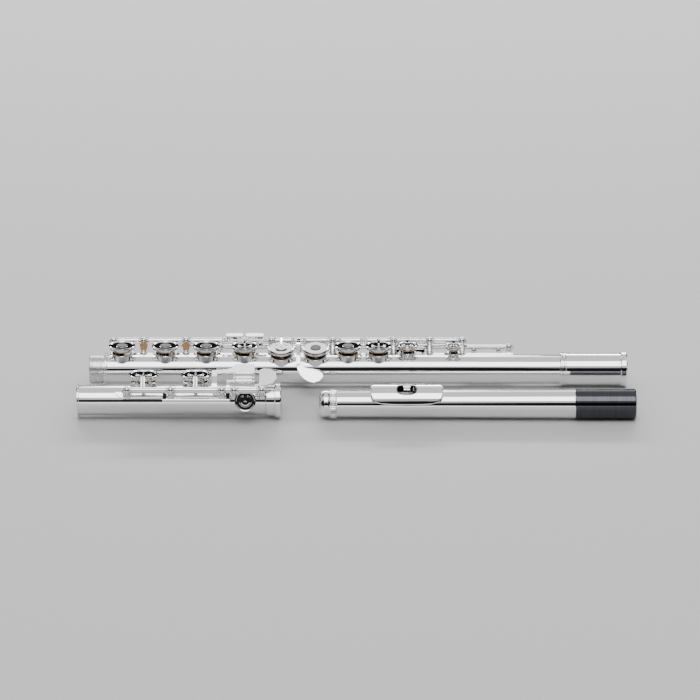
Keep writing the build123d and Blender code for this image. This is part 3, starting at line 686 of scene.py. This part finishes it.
# ---- head joint ----
def crown_cap(look):
    """Domed crown with a knurled band, in place of the plain one."""
    profile = [(0, 6.0), (1.5, 6.0), (1.5, 0.2), (9.75, 0.2), (9.9, 0.3), (10.02, 0.7),
               (10.02, 0.95), (9.55, 1.05), (9.55, 1.25), (10.03, 1.4), (10.03, 3.6),
               (9.55, 3.75), (9.55, 3.95), (9.85, 4.1), (9.85, 4.4), (9.4, 4.8), (9.1, 5.4),
               (9.0, 6.2), (9.15, 7.2), (9.2, 8.2), (9.0, 9.3), (8.4, 10.4), (7.4, 11.3),
               (6.2, 11.85), (4.6, 12.25), (3.0, 12.45), (1.4, 12.5), (0, 12.5)]
    shape = Shape(at(HEAD_AT) @ along_x(CROWN_END, flip=True))
    shape.lathe(profile, steps=144, tooth=lambda i: 0.0 if i % 3 else KNURL_DEPTH)
    piece = shape.finish("crown_cap", "crown_screw", look["plate"], "silver", 30.0)
    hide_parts("crown")


def plate_outline(angle, hole):
    """Edge of the lip plate, or of the mouth hole, at an angle from +X."""
    c, s = cos(angle), sin(angle)
    half, deep, power = MOUTH_HOLE if hole else (PLATE_REAR if s > 0 else PLATE_FRONT)
    reach = (abs(c / half) ** power + abs(s / deep) ** power) ** (-1 / power)
    return reach * c, reach * s


def lip_plate(look):
    """Lip plate as one smooth closed sheet round the mouth hole."""
    radius, rise, wall, steps = 12.3, 1.6, 0.9, 128

    def point(angle, share, drop):
        """Point at a share of the way from hole to edge, and a drop below the top."""
        (x0, y0), (x1, y1) = plate_outline(angle, True), plate_outline(angle, False)
        x, y = x0 + (x1 - x0) * share, y0 + (y1 - y0) * share
        r = radius - drop
        lean = y / radius
        return (x, r * sin(lean), rise + r * cos(lean))

    shape = Shape(at(HEAD_AT) @ turned(HEAD_TURN))
    over = [(0.0, 0.40), (0.004, 0.16), (0.015, 0.04), (0.04, 0.0)]
    over += [(s, 0.0) for s in (0.1, 0.2, 0.32, 0.45, 0.58, 0.7, 0.82, 0.9, 0.96)]
    over += [(0.985, 0.04), (0.997, 0.18), (1.0, 0.42)]
    under = [(0.997, 0.72), (0.985, wall - 0.02)]
    under += [(s, wall) for s in (0.9, 0.7, 0.45, 0.2, 0.05)] + [(0.0, wall)]
    rings = []
    for share, drop in over + under:
        rings.append(shape.ring([point(2 * pi * i / steps, share, drop) for i in range(steps)]))
    for a, b in zip(rings, rings[1:] + rings[:1]):
        shape.bridge(a, b)
    piece = shape.finish("lip_plate_sheet", "head_joint", look["plate"], "silver", 70.0)
    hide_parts("lip_plate")


make_world()
make_floor()
make_camera()
make_light()
look = {
    "plate": silver("silver_plate"),
    "keys": silver("silver_keys", low=0.012, high=0.05, wear=0.3, ripple=0.2),
    "body_tube": silver("silver_body", worn_end=(BODY_AT[0] + BODY_TENON_END) * MM),
    "foot_tube": silver("silver_foot"),
    # the head tenon is painted near black here, a painted dark reflection
    "head_tube": silver("silver_head", dark_reflection_from=(HEAD_AT[0] + HEAD_TENON_START) * MM),
    "rods": steel("rod_steel", (0.80, 0.80, 0.81)),
    "steel": steel("screw_steel", (0.55, 0.55, 0.57)),
    "blue": steel("spring_steel", (0.10, 0.13, 0.24)),
    "skin": pad_skin(),
    "plastic": plug_plastic(),
    "cork": cork(),
}
dress(look)
make_pads(look)
arm_ridges(look)
rod_screws(look)
collars(look)
post_feet(look)
springs(look)
lugs(look)
hole_rims(look)
crown_cap(look)
lip_plate(look)
